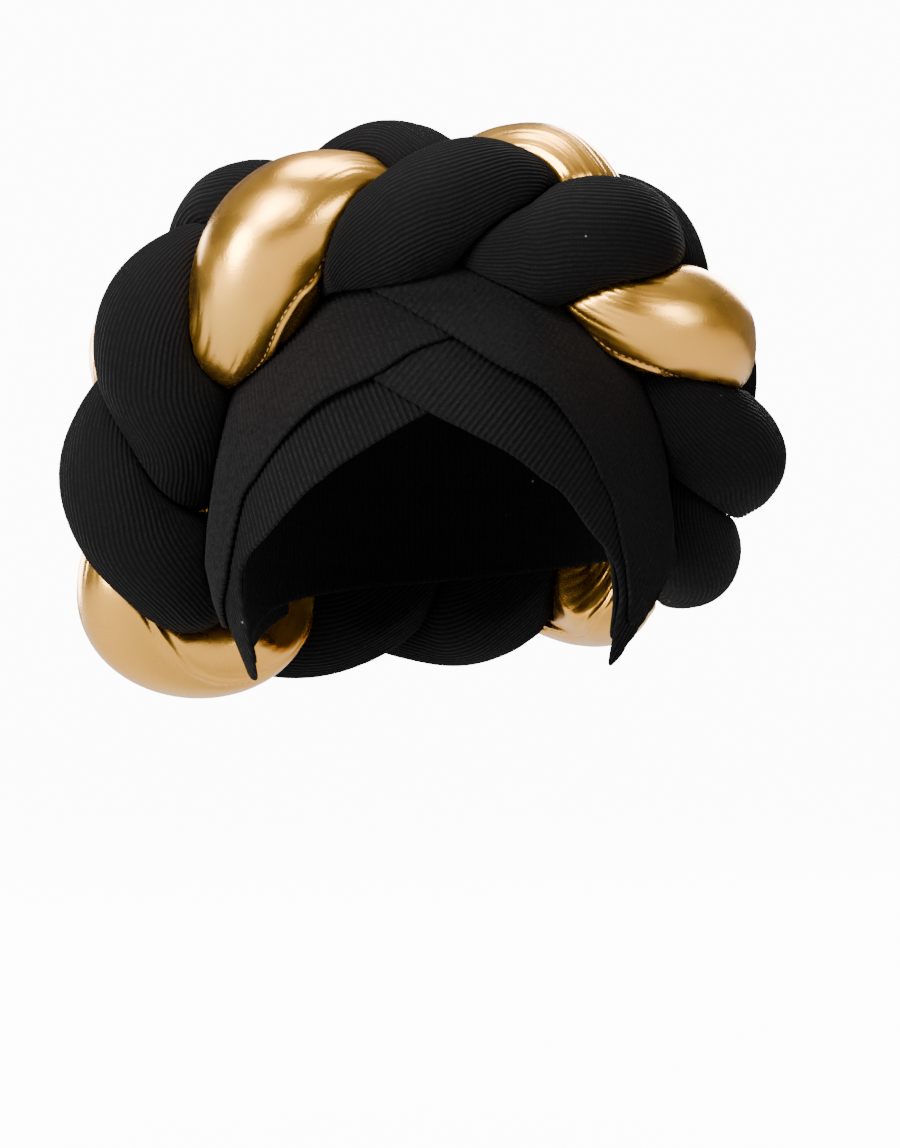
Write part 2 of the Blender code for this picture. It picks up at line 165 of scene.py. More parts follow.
def grid_normals(points: np.ndarray) -> np.ndarray:
    """Unit normals of a grid of points whose rows and columns close on themselves."""
    return unit(np.cross(*(np.roll(points, -1, axis=axis) - np.roll(points, 1, axis=axis)
                           for axis in (0, 1))))


@dataclass(frozen=True)
class HeadForm:
    """The cap's hollow, which follows the head.

    Attributes:
        half_width: Half the hollow's width, in metres, as all sizes are.
        front: Reach towards the face from the middle.
        back: Reach towards the nape.
        crown: Height of the dome over the widest level.
        skirt: Depth from the widest level to the hem.
    """

    half_width: float = 0.080
    front: float = 0.092
    back: float = 0.096
    crown: float = 0.085
    skirt: float = 0.074

    def radius(self, azimuth: np.ndarray, level: np.ndarray) -> np.ndarray:
        """Radius of the hollow at an azimuth, level with the widest ring or below it."""
        depth = np.clip(level - 1.0, 0.0, 1.0)
        depths, *shares = zip(*SKIRT)
        side, front, back = (np.interp(depth, depths, share) for share in shares)
        long = np.where(np.cos(azimuth) > 0, self.front * front, self.back * back)
        return 1.0 / np.hypot(np.sin(azimuth) / (self.half_width * side), np.cos(azimuth) / long)

    def point(self, azimuth: np.ndarray, level: np.ndarray, height: np.ndarray) -> np.ndarray:
        """Point at a height above the hollow's surface."""
        azimuth, level, height = np.broadcast_arrays(azimuth, level, height)
        radius = self.radius(azimuth, level)
        tilt = np.clip(1.0 - level, 0.0, 1.0) * math.pi / 2
        out = np.cos(tilt) / radius
        up = np.sin(tilt) / self.crown
        steep = np.hypot(out, up)
        reach = radius * np.cos(tilt) + height * out / steep
        drop = self.crown * (1.0 - np.sin(tilt)) + self.skirt * np.maximum(level - 1.0, 0.0)
        rise = height * up / steep - drop
        return np.stack([reach * np.sin(azimuth), -reach * np.cos(azimuth), rise], axis=-1)

    def place(self, points: np.ndarray) -> tuple[np.ndarray, np.ndarray, np.ndarray]:
        """Azimuth, level and height of points near the cap."""
        reach = np.hypot(points[..., 0], points[..., 1])
        rise = points[..., 2] + self.crown
        azimuth = np.arctan2(points[..., 0], -points[..., 1])
        wide = self.radius(azimuth, np.ones_like(reach))
        tilt = np.arctan2(np.maximum(rise, 0.0) / self.crown, reach / wide)
        level_below = 1.0 + np.maximum(-rise, 0.0) / self.skirt
        level = np.where(rise > 0, 1.0 - tilt / (math.pi / 2), level_below)
        dome = np.hypot(reach, rise) - np.hypot(wide * np.cos(tilt), self.crown * np.sin(tilt))
        height = np.where(rise > 0, dome, reach - self.radius(azimuth, level_below))
        return azimuth, level, height


@dataclass(frozen=True)
class Layers:
    """Heights of the cap's cloth and of the layers of bands on it.

    Attributes:
        cap_cloth: Thickness of the cap.
        band_cloth: Thickness of a folded band, as one layer takes it up.
        gap: Air between layers.
        left_step: Azimuths between which the upper left band climbs, and its layers there.
        right_step: The same for the upper right band.
        cover_levels: Levels above the bands' upper edges where their cover starts and is full.
        cover_ends: Degrees behind the ears between which the cover ends.
    """

    cap_cloth: float = 0.0016
    band_cloth: float = 0.0016
    gap: float = 0.0008
    left_step: tuple[float, float, float, float] = (-45, -25, 1, 2)
    right_step: tuple[float, float, float, float] = (20, 40, 3, 1)
    cover_levels: tuple[float, float] = (0.26, 0.12)
    cover_ends: tuple[float, float] = (142, 152)

    def height(self, layer: np.ndarray) -> np.ndarray:
        """Height of the underside of a layer; layer 0 lies on the cap."""
        return self.cap_cloth + self.gap + layer * (self.band_cloth + self.gap)

    @staticmethod
    def layer_at(step: tuple[float, float, float, float], azimuth: np.ndarray) -> np.ndarray:
        """Layer of a band at an azimuth in radians."""
        start, end, before, after = step
        return before + (after - before) * ramp(np.degrees(azimuth), start, end)

    @staticmethod
    def upper_edge(degrees: np.ndarray) -> np.ndarray:
        """Level of the bands' upper edges."""
        left = [row for row in LEFT_UPPER if row[2] < RIGHT_UPPER[0][2]]
        edges = sorted((row[2], row[3]) for row in left + list(RIGHT_UPPER))
        return np.interp(degrees, *zip(*edges))

    def wrap_height(self, azimuth: np.ndarray, level: np.ndarray) -> np.ndarray:
        """Height that the braid must clear: the cap, and the bands up to their upper edges."""
        degrees = np.degrees(azimuth)
        edge = self.upper_edge(degrees)
        right = ramp(degrees, self.left_step[0], RIGHT_UPPER[0][0])
        left_azimuth = np.minimum(azimuth, math.radians(self.left_step[0]))
        top = (1 - right) * self.layer_at(self.left_step, left_azimuth)
        top = top + right * self.layer_at(self.right_step, azimuth)
        around = 1 - ramp(np.abs(degrees), *self.cover_ends)
        start, full = self.cover_levels
        cover = around * ramp(level, edge - start, edge - full)
        return self.cap_cloth + (self.height(top + 1) - self.gap - self.cap_cloth) * cover


def grid_mesh(name: str, points: np.ndarray, uv: np.ndarray | None, closed_rows: bool,
              poles: tuple[np.ndarray, np.ndarray] | None = None) -> bpy.types.Object:
    """Smooth object from a grid whose columns close on themselves.

    Args:
        name: Name of the object and its mesh.
        points: Grid of shape (rows, columns, 3); each row is a closed loop.
        uv: Pattern places of shape (rows + 1, columns + 1, 2), with the closing row and column.
        closed_rows: Whether the last row joins the first; otherwise the ends are closed.
        poles: Points that close the first and last row, or None for flat ends.

    Returns:
        The object, linked to the scene, at the origin.
    """
    rows, columns = points.shape[:2]
    spans = rows if closed_rows else rows - 1
    row, column = np.meshgrid(np.arange(spans), np.arange(columns), indexing="ij")
    ahead, beside = (row + 1) % rows, (column + 1) % columns
    quads = np.stack([row * columns + column, row * columns + beside,
                      ahead * columns + beside, ahead * columns + column], axis=-1).reshape(-1, 4)
    corners = [uv[row, column], uv[row, column + 1], uv[row + 1, column + 1], uv[row + 1, column]]
    corner_uv = np.stack(corners, axis=2).reshape(-1, 4, 2)
    vertices = points.reshape(-1, 3)
    faces, face_uv = [quads], [corner_uv]
    if poles is not None:
        for pole, start, first_row in ((poles[0], 0, 0), (poles[1], (rows - 1) * columns, rows - 1)):
            tip = len(vertices)
            vertices = np.vstack([vertices, pole[None]])
            ring = start + np.arange(columns)
            faces.append(np.stack([np.full(columns, tip), ring, np.roll(ring, -1),
                                   np.roll(ring, -1)], axis=-1))
            low, high = uv[first_row, :-1], uv[first_row, 1:]
            face_uv.append(np.stack([(low + high) / 2, low, high, high], axis=1))
    mesh = bpy.data.meshes.new(name)
    bm = bmesh.new()
    layer = bm.loops.layers.uv.new("UVMap")
    verts = [bm.verts.new(vertex) for vertex in vertices]
    for block, block_uv in zip(faces, face_uv):
        for ids, places in zip(block.tolist(), block_uv.tolist()):
            if ids[2] == ids[3]:
                ids, places = ids[:3], places[:3]
            face = bm.faces.new([verts[index] for index in ids])
            face.smooth = True
            for loop, spot in zip(face.loops, places):
                loop[layer].uv = spot
    if poles is None and not closed_rows:
        for start in (0, (rows - 1) * columns):
            face = bm.faces.new([verts[start + index] for index in range(columns)])
            face.smooth = True
    bmesh.ops.remove_doubles(bm, verts=bm.verts, dist=2e-6)
    bmesh.ops.recalc_face_normals(bm, faces=bm.faces)
    if bm.calc_volume(signed=True) < 0:
        bmesh.ops.reverse_faces(bm, faces=bm.faces)
    bm.to_mesh(mesh)
    bm.free()
    return linked(bpy.data.objects.new(name, mesh))


def linked(thing: bpy.types.Object) -> bpy.types.Object:
    """The object, linked to the scene."""
    bpy.context.scene.collection.objects.link(thing)
    return thing


def report(piece: bpy.types.Object) -> None:
    """Log a finished piece and its face count."""
    log.info("%s: %d faces", piece.name, len(piece.data.polygons))


# Shared shader groups

class Sockets(Enum):
    """Socket types of a node group."""

    NUMBER = "NodeSocketFloat"
    WHOLE = "NodeSocketInt"
    VECTOR = "NodeSocketVector"
    SHAPE = "NodeSocketGeometry"


@dataclass
class Nodes:
    """A node tree, with short calls for its nodes.

    Attributes:
        tree: The tree that they go into.
    """

    tree: bpy.types.NodeTree

    def sockets(self, way: str, **kinds: Sockets) -> None:
        """Give the tree inputs or outputs, by name."""
        for name, kind in kinds.items():
            self.tree.interface.new_socket(spaced(name), in_out=way, socket_type=kind.value)

    def fill(self, socket: bpy.types.NodeSocket, value: object) -> None:
        """Link a socket to another one, or give it a value."""
        if isinstance(value, bpy.types.NodeSocket):
            self.tree.links.new(value, socket)
        else:
            socket.default_value = value

    def node(self, kind: str, settings: dict | None = None, **values: object) -> Outputs:
        """Add a node.

        Args:
            kind: Blender's node type.
            settings: Attributes of the node, such as its operation.
            **values: Inputs by name, or by i0, i1 for a place; a socket is linked.

        Returns:
            The new node's outputs.
        """
        node = self.tree.nodes.new(kind)
        for key, value in (settings or {}).items():
            setattr(node, key, value)
        for key, value in values.items():
            self.fill(node.inputs[int(key[1:]) if key[1:].isdigit() else spaced(key)], value)
        return node.outputs

    def maths(self, operation: str, first: object, second: object = 0.0) -> bpy.types.NodeSocket:
        """Output of a Math node."""
        return self.node("ShaderNodeMath", {"operation": operation}, i0=first, i1=second)[0]

    def times(self, first: object, second: object) -> bpy.types.NodeSocket:
        """Product of two values."""
        return self.maths("MULTIPLY", first, second)

    def wave(self, turns: object) -> bpy.types.NodeSocket:
        """Cosine of a value in turns."""
        return self.maths("COSINE", self.times(turns, TAU))

    def positive(self, wave: object) -> bpy.types.NodeSocket:
        """A wave from -1 to 1, moved to 0 to 1."""
        return self.maths("ADD", self.times(wave, 0.5), 0.5)

    def blend(self, first: object, second: object, share: float) -> bpy.types.NodeSocket:
        """A share of the first value and the rest of the second."""
        return self.maths("ADD", self.times(first, share), self.times(second, 1.0 - share))

    def mapped(self, value: object, **ends: float) -> bpy.types.NodeSocket:
        """A value moved from one range to another."""
        return self.node("ShaderNodeMapRange", Value=value, **ends)[0]

    def spot(self, across: object, along: object) -> bpy.types.NodeSocket:
        """Vector of two values."""
        return self.node("ShaderNodeCombineXYZ", X=across, Y=along)[0]

    def noise(self, where: object, scale: object = 1.0, detail: float = 2.0) -> bpy.types.NodeSocket:
        """Factor of a Noise Texture."""
        return self.node("ShaderNodeTexNoise", Vector=where, Scale=scale, Detail=detail)["Fac"]

    def mix(self, share: object, first: object, second: object) -> bpy.types.NodeSocket:
        """Colour between two colours."""
        return self.node("ShaderNodeMix", {"data_type": "RGBA"}, i0=share, i6=first, i7=second)[2]


class ShaderGroup(Nodes):
    """A shader group under construction, whose first input is a place on the cloth."""

    def __init__(self, name: str, **numbers: float) -> None:
        """Start the group.

        Args:
            name: Name of the group.
            **numbers: Its other inputs by name, and what they are when nothing is given.
        """
        super().__init__(bpy.data.node_groups.new(name, "ShaderNodeTree"))
        self.sockets("INPUT", Place=Sockets.VECTOR, **dict.fromkeys(numbers, Sockets.NUMBER))
        for socket, value in zip(self.tree.interface.items_tree[1:], numbers.values()):
            socket.default_value = value
        self.given = self.tree.nodes.new("NodeGroupInput").outputs

    def give(self, **results: bpy.types.NodeSocket) -> bpy.types.NodeTree:
        """Finish the group with its outputs, by name."""
        self.sockets("OUTPUT", **dict.fromkeys(results, Sockets.NUMBER))
        ends = self.tree.nodes.new("NodeGroupOutput").inputs
        for name, value in results.items():
            self.fill(ends[name], value)
        return self.tree


def spaced(name: str) -> str:
    """Name of a socket, as Blender writes it."""
    return name.replace("_", " ")


def rib_knit_group() -> bpy.types.NodeTree:
    """Rib knit: UV x counts ribs, UV y is metres along them.

    Returns:
        Group with outputs Height, and Nubs for its small lumps, both from 0 to 1.
    """
    group = ShaderGroup("rib_knit", Loop_Length=0.0011, Crepe_Share=0.35)
    across, along, _ = group.node("ShaderNodeSeparateXYZ", i0=group.given["Place"])
    wander = group.noise(group.spot(group.times(across, 0.35), group.times(along, 90.0)))
    phase = group.maths("ADD", across, group.times(group.maths("SUBTRACT", wander, 0.5), 0.35))
    wave = group.wave(phase)
    rib = group.maths("FLOOR", group.maths("ADD", phase, 0.5))
    breaks = group.noise(group.spot(group.times(rib, 7.3), group.times(along, 330.0)))
    strong = group.mapped(breaks, From_Min=0.36, From_Max=0.60, To_Min=0.35, To_Max=1.0)
    ridge = group.times(group.maths("POWER", group.positive(wave), 0.75), strong)
    loops = group.maths("DIVIDE", along, group.given["Loop Length"])
    slant = group.maths("ADD", loops, group.times(group.maths("ABSOLUTE", wave), 0.45))
    nubs = group.noise(group.spot(group.times(phase, 2.0), group.times(loops, 0.8)), detail=3.0)
    crepe = group.blend(group.positive(group.wave(slant)), nubs, 0.35)
    share = group.given["Crepe Share"]
    ribs = group.times(ridge, group.maths("SUBTRACT", 1.0, share))
    return group.give(Height=group.maths("ADD", ribs, group.times(crepe, share)), Nubs=nubs)


def worn_cloth_group() -> bpy.types.NodeTree:
    """Slight differences of handled cloth, on Object coordinates.

    Returns:
        Group with outputs Fade (broad patches, 0 to 1) and Lint (1 on tiny pale fibres).
    """
    group = ShaderGroup("worn_cloth", Patch_Scale=28.0, Lint_Scale=190.0, Lint_Share=0.02)
    place = group.given["Place"]
    cells = group.node("ShaderNodeTexVoronoi", Vector=place, Scale=group.given["Lint Scale"])
    picked = group.node("ShaderNodeSeparateColor", i0=cells["Color"])[0]
    chosen = group.maths("LESS_THAN", picked, group.given["Lint Share"])
    speck = group.maths("LESS_THAN", cells["Distance"], 0.11)
    return group.give(Fade=group.noise(place, group.given["Patch Scale"], 3.0),
                      Lint=group.times(chosen, speck))


def foil_group() -> bpy.types.NodeTree:
    """Foil-printed cloth: fine grain, small creases and a slow change of tone.

    Returns:
        Group with outputs Height (0 to 1), Tone (0 to 1) and Rub (1 where the foil is dulled).
    """
    group = ShaderGroup("foil_cloth", Grain_Scale=1300.0, Crease_Scale=120.0)
    place = group.given["Place"]
    grain = group.noise(place, group.given["Grain Scale"])
    crease = group.noise(place, group.given["Crease Scale"])
    return group.give(Height=group.blend(grain, crease, 0.45), Tone=group.noise(place, 22.0, 3.0),
                      Rub=group.noise(place, 60.0))


# Finishes

class Surface(Nodes):
    """A material under construction."""

    def __init__(self, name: str, colour: Colour) -> None:
        """Start the material.

        Args:
            name: Name of the material.
            colour: Its main colour, for plain views.
        """
        self.material = bpy.data.materials.new(name)
        self.material.use_nodes = True
        self.material.diffuse_color = colour
        super().__init__(self.material.node_tree)
        self.places = self.node("ShaderNodeTexCoord")

    def shared(self, group: bpy.types.NodeTree, place: str, **values: float) -> Outputs:
        """Outputs of a shared group on UV or Object coordinates."""
        return self.node("ShaderNodeGroup", {"node_tree": group}, Place=self.places[place], **values)

    def relief(self, height: bpy.types.NodeSocket, depth: float) -> bpy.types.NodeSocket:
        """Normal of a relief of a depth in metres."""
        return self.node("ShaderNodeBump", Strength=1.0, Distance=depth, Height=height)[0]

    def finish(self, **inputs: object) -> bpy.types.Material:
        """Fill inputs of the main shader, by name, and return the material."""
        shader = self.tree.nodes["Principled BSDF"]
        for name, value in inputs.items():
            self.fill(shader.inputs[spaced(name)], value)
        return self.material


def dimmed(colour: Colour, share: float) -> Colour:
    """A colour at a share of its brightness."""
    return tuple(share * value for value in colour[:3]) + (1,)


@dataclass(frozen=True)
class KnitFinish:
    """Black rib knit.

    Attributes:
        name: Name of the material.
        ridge: Colour of the ridges.
        furrow_shade: Colour of the furrows, darker than the ridges as painted shade in them.
        lint: Colour of the stray fibres.
        relief: Depth of the ribs that the bump adds, in metres.
        loop_length: Length of one knitted loop.
    """

    name: str
    ridge: Colour = (0.0042, 0.0040, 0.0046, 1)
    furrow_shade: Colour = (0.0008, 0.0008, 0.0010, 1)
    lint: Colour = (0.11, 0.12, 0.12, 1)
    relief: float = 0.00035
    loop_length: float = 0.0011

    def build(self, groups: dict[str, bpy.types.NodeTree]) -> bpy.types.Material:
        """Make the material.

        Args:
            groups: The shared groups by name.

        Returns:
            Material on the piece's UV map.
        """
        cloth = Surface(self.name, self.ridge)
        knit = cloth.shared(groups["rib_knit"], "UV", Loop_Length=self.loop_length)
        wear = cloth.shared(groups["worn_cloth"], "Object")
        # Painted shade: the colour goes from the ridge colour on the raised ribs to the darker furrow
        # colour where the rib height is low; the nubs also vary it at random.
        lit = cloth.mapped(cloth.times(knit["Nubs"], knit["Height"]), From_Min=0.08, From_Max=0.5)
        base = cloth.mix(lit, self.furrow_shade, self.ridge)
        faded = cloth.mix(cloth.times(wear["Fade"], 0.5), base, dimmed(self.ridge, 0.45))
        return cloth.finish(Base_Color=cloth.mix(wear["Lint"], faded, self.lint),
                            Roughness=cloth.mapped(knit["Nubs"], To_Min=0.72, To_Max=0.95),
                            Normal=cloth.relief(knit["Height"], self.relief),
                            Specular_IOR_Level=0.075, Sheen_Weight=0.014, Sheen_Roughness=0.45)


@dataclass(frozen=True)
class FoilFinish:
    """Gold foil cloth.

    Attributes:
        name: Name of the material.
        pale: Colour where the foil is freshest.
        deep: Colour where it is warmer.
        smooth: Roughness of the smoothest foil.
        rubbed: Roughness where it is rubbed.
        relief: Depth of the grain and small creases, in metres.
    """

    name: str
    pale: Colour = (1.0, 0.565, 0.085, 1)
    deep: Colour = (0.93, 0.40, 0.038, 1)
    smooth: float = 0.23
    rubbed: float = 0.33
    relief: float = 0.00012

    def build(self, groups: dict[str, bpy.types.NodeTree]) -> bpy.types.Material:
        """Make the material.

        Args:
            groups: The shared groups by name.

        Returns:
            Material on Object coordinates.
        """
        foil = Surface(self.name, self.pale)
        coating = foil.shared(groups["foil_cloth"], "Object")
        rough = foil.mapped(coating["Rub"], From_Min=0.35, From_Max=0.65, To_Min=self.smooth,
                            To_Max=self.rubbed)
        return foil.finish(Base_Color=foil.mix(coating["Tone"], self.pale, self.deep), Roughness=rough,
                           Normal=foil.relief(coating["Height"], self.relief), Metallic=1.0,
                           Coat_Weight=0.35, Coat_Roughness=0.2)


@dataclass(frozen=True)
class ThreadFinish:
    """Sewing thread.

    Attributes:
        name: Name of the material.
        colour: Colour of the thread.
    """

    name: str
    colour: Colour

    def build(self, groups: dict[str, bpy.types.NodeTree]) -> bpy.types.Material:
        """Make the material, with the shared wear on it."""
        thread = Surface(self.name, self.colour)
        wear = thread.shared(groups["worn_cloth"], "Object", Patch_Scale=900.0)
        uneven = thread.mix(wear["Fade"], dimmed(self.colour, 0.5), self.colour)
        return thread.finish(Base_Color=uneven, Roughness=0.55)


# Stitches

@dataclass(frozen=True)
class Stitching:
    """A row of stitches along a line, made by Geometry Nodes.

    Attributes:
        name: Name of the row.
        spacing: Distance between stitches.
        length: Length of one stitch.
        thickness: Thickness of the thread.
        closed: Whether the row closes on itself.
        unevenness: How far a stitch may turn out of line, in radians.
    """

    name: str
    spacing: float
    length: float
    thickness: float
    closed: bool
    unevenness: float = 0.12

    def build(self, points: np.ndarray, material: bpy.types.Material) -> bpy.types.Object:
        """Sew the row.

        Args:
            points: The line that the stitches follow, of shape (count, 3).
            material: Finish of the thread.

        Returns:
            A plain mesh object with every stitch in it.
        """
        tree = self.tree(material)
        curve = bpy.data.curves.new(self.name + "_line", "CURVE")
        curve.dimensions = "3D"
        spline = curve.splines.new("POLY")
        spline.points.add(len(points) - 1)
        spline.points.foreach_set("co", np.hstack([points, np.ones((len(points), 1))]).ravel())
        spline.use_cyclic_u = self.closed
        guide = linked(bpy.data.objects.new(self.name + "_line", curve))
        sewing = guide.modifiers.new("sewing", "NODES")
        sewing.node_group = tree
        values = {"Spacing": self.spacing, "Length": self.length, "Thickness": self.thickness, "Seed": 7}
        for item in tree.interface.items_tree:
            if item.name in values:
                sewing[item.identifier] = values[item.name]
        graph = bpy.context.evaluated_depsgraph_get()
        graph.update()
        mesh = bpy.data.meshes.new_from_object(guide.evaluated_get(graph), depsgraph=graph)
        mesh.name = self.name
        bpy.data.objects.remove(guide, do_unlink=True)
        return linked(bpy.data.objects.new(self.name, mesh))

    def tree(self, material: bpy.types.Material) -> bpy.types.NodeTree:
        """Node tree that puts a stitch at every step of a curve, turned along it."""
        sew = Nodes(bpy.data.node_groups.new("sew_" + self.name, "GeometryNodeTree"))
        number = Sockets.NUMBER
        sew.sockets("INPUT", Geometry=Sockets.SHAPE, Spacing=number, Length=number, Thickness=number,
                    Seed=Sockets.WHOLE)
        sew.sockets("OUTPUT", Geometry=Sockets.SHAPE)
        given = sew.node("NodeGroupInput")
        steps = sew.node("GeometryNodeResampleCurve", {"mode": "LENGTH"}, Curve=given["Geometry"],
                         Length=given["Spacing"])[0]
        bead = sew.node("GeometryNodeMeshUVSphere", Segments=6, Rings=5, Radius=0.5)[0]
        size = sew.node("ShaderNodeCombineXYZ", X=given["Thickness"], Y=given["Thickness"],
                        Z=given["Length"])[0]
        stitch = sew.node("GeometryNodeTransform", Geometry=bead, Scale=size)[0]
        tangent = sew.node("GeometryNodeInputTangent")[0]
        aim = sew.node("FunctionNodeAlignRotationToVector", {"axis": "Z"}, Vector=tangent)[0]
        sway = sew.node("FunctionNodeRandomValue", {"data_type": "FLOAT_VECTOR"},
                        i0=(-self.unevenness,) * 3, i1=(self.unevenness,) * 3, Seed=given["Seed"])[0]
        turn = sew.node("FunctionNodeRotateRotation", {"rotation_space": "LOCAL"}, i0=aim, i1=sway)[0]
        placed = sew.node("GeometryNodeInstanceOnPoints", Points=steps, Instance=stitch, Rotation=turn)[0]
        real = sew.node("GeometryNodeRealizeInstances", Geometry=placed)[0]
        smooth = sew.node("GeometryNodeSetShadeSmooth", Geometry=real)[0]
        sewn = sew.node("GeometryNodeSetMaterial", Geometry=smooth, Material=material)[0]
        sew.node("NodeGroupOutput", i0=sewn)
        return sew.tree


# Sub-assemblies

@dataclass(frozen=True)
class Cap:
    """The stretch-knit cap under everything.

    Attributes:
        form: The head's form.
        layers: Thicknesses of the cloth.
        columns: Faces around.
        rings: Faces from the crown to the rim.
        rib_pitch: Distance between ribs.
        hem_width: Width of the turned hem along the rim.
        hem_rise: How far the hem stands out.
        hem_start: Degrees from the front between which it starts to.
        crowding: How much closer the columns lie at the back seam.
        gather: Height of the gathered folds.
        gather_start: Metres inwards from the braid's middle between which the gathers set in.
        gather_end: Metres between which they fade out again, away from the seam.
        tuck_reach: How far the small tucks run out from the seam.
        seam_start: Levels between which the seam sets in.
        seam_cut: Depth and width of the seam's line.
        seam_edge: Height, distance and width of the turned cloth on both sides of it.
        stitch_rise: Height of the hem's stitches over the rim.
        stitch_start: Degrees from the front at which they come out behind the ears.
    """

    form: HeadForm
    layers: Layers
    columns: int = 336
    rings: int = 84
    rib_pitch: float = 0.00225
    hem_width: float = 0.009
    hem_rise: float = 0.0007
    hem_start: tuple[float, float] = (118, 140)
    crowding: float = 0.75
    gather: float = 0.0022
    gather_start: tuple[float, float] = (0.040, 0.052)
    gather_end: tuple[float, float] = (0.060, 0.115)
    tuck_reach: float = 0.024
    seam_start: tuple[float, float] = (0.30, 0.45)
    seam_cut: tuple[float, float] = (0.0008, 0.0007)
    seam_edge: tuple[float, float, float] = (0.0004, 0.0022, 0.0014)
    stitch_rise: float = 0.0075
    stitch_start: float = 128

    def rim(self, count: int) -> tuple[np.ndarray, np.ndarray]:
        """Azimuth in radians and level of the rim, at count places around, closest at the back."""
        share = np.arange(count) / count
        place = (share + self.crowding * np.sin(TAU * share) / TAU) * len(RIM)
        unrolled = np.array(RIM, float) - [[360 * row / len(RIM), 0] for row in range(len(RIM))]
        azimuth, level = around_rows(unrolled, place).T
        return np.radians(azimuth + 360 * place / len(RIM)), level

    def build(self) -> bpy.types.Object:
        """Make the cap as one closed sheet with a turned hem."""
        azimuth, edge = self.rim(self.columns)
        shares = np.linspace(0, 1, self.rings + 1)[1:, None]
        cloth = self.layers.cap_cloth
        level = edge * shares
        to_rim = (1 - shares) * edge * self.form.skirt
        hem = self.hem_rise * (1 - ramp(to_rim, 0.85 * self.hem_width, self.hem_width))
        hem = hem * ramp(np.abs(np.degrees(centred(azimuth))), *self.hem_start)
        drawn, seam = self.folds(azimuth, level)
        outside = self.form.point(azimuth, level, cloth + hem + drawn + seam)
        inside = self.form.point(azimuth, level, drawn)
        fold = self.form.point(azimuth, edge + 0.35 * cloth / self.form.skirt, 0.5 * cloth)[None]
        points = np.concatenate([inside, fold, outside[::-1]])
        uv = np.concatenate([self.pattern(azimuth, level, True), self.pattern(azimuth, edge[None], False),
                             self.pattern(azimuth, level, False)[::-1]])
        poles = (self.form.point(0.0, 0.0, 0.0), self.form.point(0.0, 0.0, cloth))
        return grid_mesh("cap_knit", points, closing(uv), False, poles)

    def hem_line(self) -> np.ndarray:
        """Line of the hem's stitches, from behind one ear to behind the other."""
        azimuth, edge = self.rim(720)
        behind = np.abs(np.degrees(centred(azimuth))) > self.stitch_start
        level = edge - self.stitch_rise / self.form.skirt
        return self.form.point(azimuth, level, self.layers.cap_cloth + 0.0008)[behind]

    def ring(self, azimuth: np.ndarray) -> np.ndarray:
        """Level of the braid's middle at an azimuth."""
        rows = np.array(sorted((row[0], row[1]) for row in ROUTE))
        rows = np.vstack([rows[-1] - (360, 0), rows, rows[0] + (360, 0)])
        return np.interp(np.degrees(centred(azimuth)), rows[:, 0], rows[:, 1])

    def run(self, level: np.ndarray) -> np.ndarray:
        """Metres down the cap from the crown to a level, near enough."""
        quarter = (self.form.crown + self.form.half_width) * math.pi / 4
        return quarter * np.minimum(level, 1.0) + self.form.skirt * np.maximum(level - 1.0, 0.0)

    def folds(self, azimuth: np.ndarray, level: np.ndarray) -> tuple[np.ndarray, np.ndarray]:
        """Heights of the cloth gathered inside the braid, and of the seam down the back."""
        azimuth, level = np.broadcast_arrays(azimuth, level)
        degrees = np.degrees(centred(azimuth))
        edge = self.layers.upper_edge(degrees)
        under = (1 - ramp(np.abs(degrees), *self.layers.cover_ends)) * ramp(level, edge - 0.5, edge - 0.28)
        inwards = self.run(self.ring(azimuth)) - self.run(level)
        free = (1 - under) * ramp(inwards, *self.gather_start)
        rng = np.random.default_rng(4)
        off = self.form.half_width * np.abs(azimuth - math.pi)
        down = ramp(level, *self.seam_start)
        side = np.sign(azimuth - math.pi)
        # Small tucks that run out from the seam, then gathers all round
        tucks = np.maximum(smooth_noise(level * 0.5 + 0.11 * side + off * 2, 46, rng), 0.0)
        tucks = tucks * hump(off, self.tuck_reach) * (1 - hump(off, 0.002))
        near = 1 - ramp(inwards, *self.gather_end)
        slide = 0.02 * smooth_noise(level * 0.4, 7, rng)
        gathers = smooth_noise(azimuth / TAU + slide, 52, rng) + 0.5 * smooth_noise(azimuth / TAU, 113, rng)
        drawn = self.gather * free * (down * tucks + near * np.maximum(gathers, 0.0))
        rise, beside, wide = self.seam_edge
        seam = rise * hump(off - beside, wide) - self.seam_cut[0] * hump(off, self.seam_cut[1])
        return drawn, seam * free * down

    def pattern(self, azimuth: np.ndarray, level: np.ndarray, inside: bool) -> np.ndarray:
        """Rib count and metres along the ribs: front to back within the braid, upright below it."""
        azimuth, level = np.broadcast_arrays(azimuth, level)
        form = self.form
        points = form.point(azimuth, level, 0.0)
        around = centred(azimuth) * (form.half_width + form.back) / 2 / self.rib_pitch
        upright = np.stack([around, -points[..., 2]], axis=-1)
        sideways = np.arcsin(np.clip(0.93 * points[..., 0] / form.half_width, -1, 1))
        roll = np.arctan2(points[..., 1], points[..., 2] + form.crown)
        over = np.stack([sideways * form.half_width / self.rib_pitch, roll * form.back], axis=-1)
        high = (level < self.ring(azimuth))[..., None] & (not inside)
        return np.where(high, over, upright)


def closing(uv: np.ndarray) -> np.ndarray:
    """Pattern places with a closing column and a closing row."""
    wide = np.concatenate([uv, uv[:, :1]], axis=1)
    return np.concatenate([wide, wide[:1]], axis=0)


